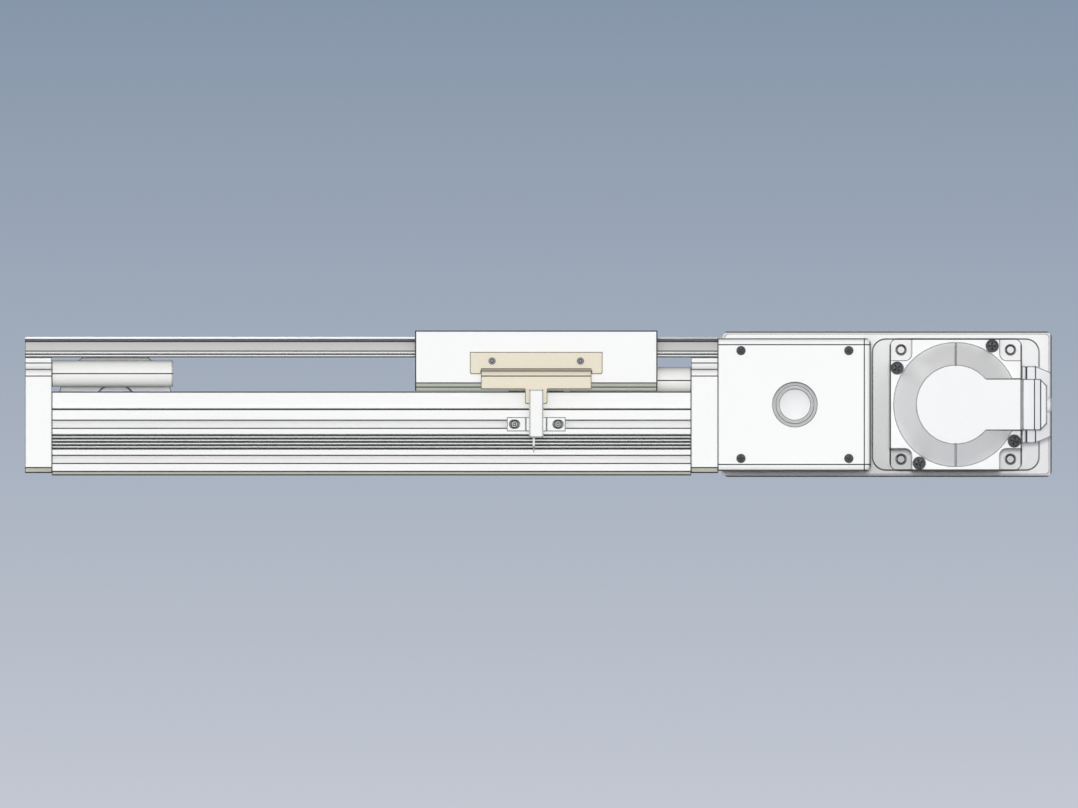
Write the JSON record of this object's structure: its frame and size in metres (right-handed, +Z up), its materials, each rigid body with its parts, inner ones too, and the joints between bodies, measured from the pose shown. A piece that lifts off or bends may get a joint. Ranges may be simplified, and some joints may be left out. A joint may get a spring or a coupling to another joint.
{
  "type": "belt driven linear axis",
  "caption": "Linear axis whose carriage runs on two rails and is pulled by a toothed belt from a side mounted servo motor.",
  "frame": {"origin": "middle of the base profile's underside", "axes": "+X along the stroke towards the drive head, +Z up, -Y the side with the limit sensor"},
  "size_m": [0.4647, 0.125, 0.0663],
  "materials": {
    "anodised_aluminium": "fine matt anodised",
    "cover_aluminium": "matt anodised extrusion",
    "strip_steel": "lengthwise brushed",
    "rail_steel": "ground",
    "screw_steel": "zinc plated",
    "pulley_aluminium": "turned",
    "belt_urethane": "satin",
    "buffer_urethane": "satin",
    "cap_plastic": "moulded",
    "motor_paint": "satin paint",
    "connector_plastic": "moulded",
    "sensor_plastic": "moulded",
    "bracket_steel": "zinc plated sheet",
    "flag_steel": "yellow passivated sheet"
  },
  "bodies": {
    "frame": {"base_profile": "anodised_aluminium", "idler_end_block": "anodised_aluminium", "drive_end_block": "anodised_aluminium", "end_block_screws": "screw_steel", "top_cover": "cover_aluminium", "cover_strip": "strip_steel", "guide_rail_near": "rail_steel", "guide_rail_far": "rail_steel", "rail_screws": "screw_steel", "idler_side_buffers": "buffer_urethane", "drive_side_buffers": "buffer_urethane", "tension_arms": "anodised_aluminium", "tension_screws": "screw_steel", "idler_axle": "rail_steel", "axis_belt": "belt_urethane", "drive_head_housing": "anodised_aluminium", "drive_head_cover": "anodised_aluminium", "drive_head_screws": "screw_steel", "drive_bearing_near": "rail_steel", "drive_bearing_far": "rail_steel", "belt_housing": "anodised_aluminium", "belt_housing_lid": "anodised_aluminium", "lid_screws": "screw_steel", "head_bolts": "screw_steel", "motor_bolts": "screw_steel", "reduction_belt": "belt_urethane", "motor_flange": "motor_paint", "motor_body": "motor_paint", "motor_rear_cover": "motor_paint", "motor_cover_screws": "screw_steel", "signal_connector": "connector_plastic", "power_connector": "connector_plastic", "motor_bearings": "rail_steel", "sensor_bracket": "bracket_steel", "limit_sensor": "sensor_plastic", "sensor_outlet": "sensor_plastic", "slot_nuts": "screw_steel", "bracket_screws": "screw_steel"},
    "carriage": {"carriage_table": "anodised_aluminium", "carriage_saddle": "anodised_aluminium", "runner_blocks_near": "rail_steel", "runner_blocks_far": "rail_steel", "runner_end_caps_near": "cap_plastic", "runner_end_caps_far": "cap_plastic", "belt_clamp_bed": "anodised_aluminium", "belt_clamp_plate": "rail_steel", "belt_clamp_screws": "screw_steel", "sensor_flag": "flag_steel", "flag_screws": "screw_steel"},
    "drive_shaft_set": {"drive_shaft": "rail_steel", "drive_pulley": "pulley_aluminium", "shaft_spacers": "rail_steel", "driven_pulley": "pulley_aluminium", "shaft_end_washer": "screw_steel", "shaft_end_screw": "screw_steel"},
    "idler_set": {"idler_pulley": "pulley_aluminium", "idler_bearings": "rail_steel"},
    "motor_rotor": {"motor_shaft": "rail_steel", "motor_rotor_core": "rail_steel", "motor_pulley": "pulley_aluminium"}
  },
  "joints": [
    {"name": "carriage_slide", "type": "slide", "parent": "frame", "child": "carriage", "axis": [1, 0, 0], "range_m": [-0.15, 0], "deforming": ["axis_belt", "reduction_belt"]},
    {"name": "drive_spin", "type": "hinge", "parent": "frame", "child": "drive_shaft_set", "pos_m": [0.1916, 0, 0.0321], "axis": [0, 1, 0], "range_deg": [-361, 1]},
    {"name": "idler_spin", "type": "hinge", "parent": "frame", "child": "idler_set", "pos_m": [-0.1159, 0, 0.0321], "axis": [0, 1, 0], "range_deg": [-361, 1]},
    {"name": "motor_spin", "type": "hinge", "parent": "frame", "child": "motor_rotor", "pos_m": [0.26437, 0, 0.0321], "axis": [0, 1, 0], "range_deg": [-722, 2]}
  ],
  "couplings": [
    {"joint": "drive_spin", "follows": "carriage_slide", "rad_per_m": 41.888},
    {"joint": "idler_spin", "follows": "carriage_slide", "rad_per_m": 41.888},
    {"joint": "motor_spin", "follows": "carriage_slide", "rad_per_m": 83.776}
  ]
}
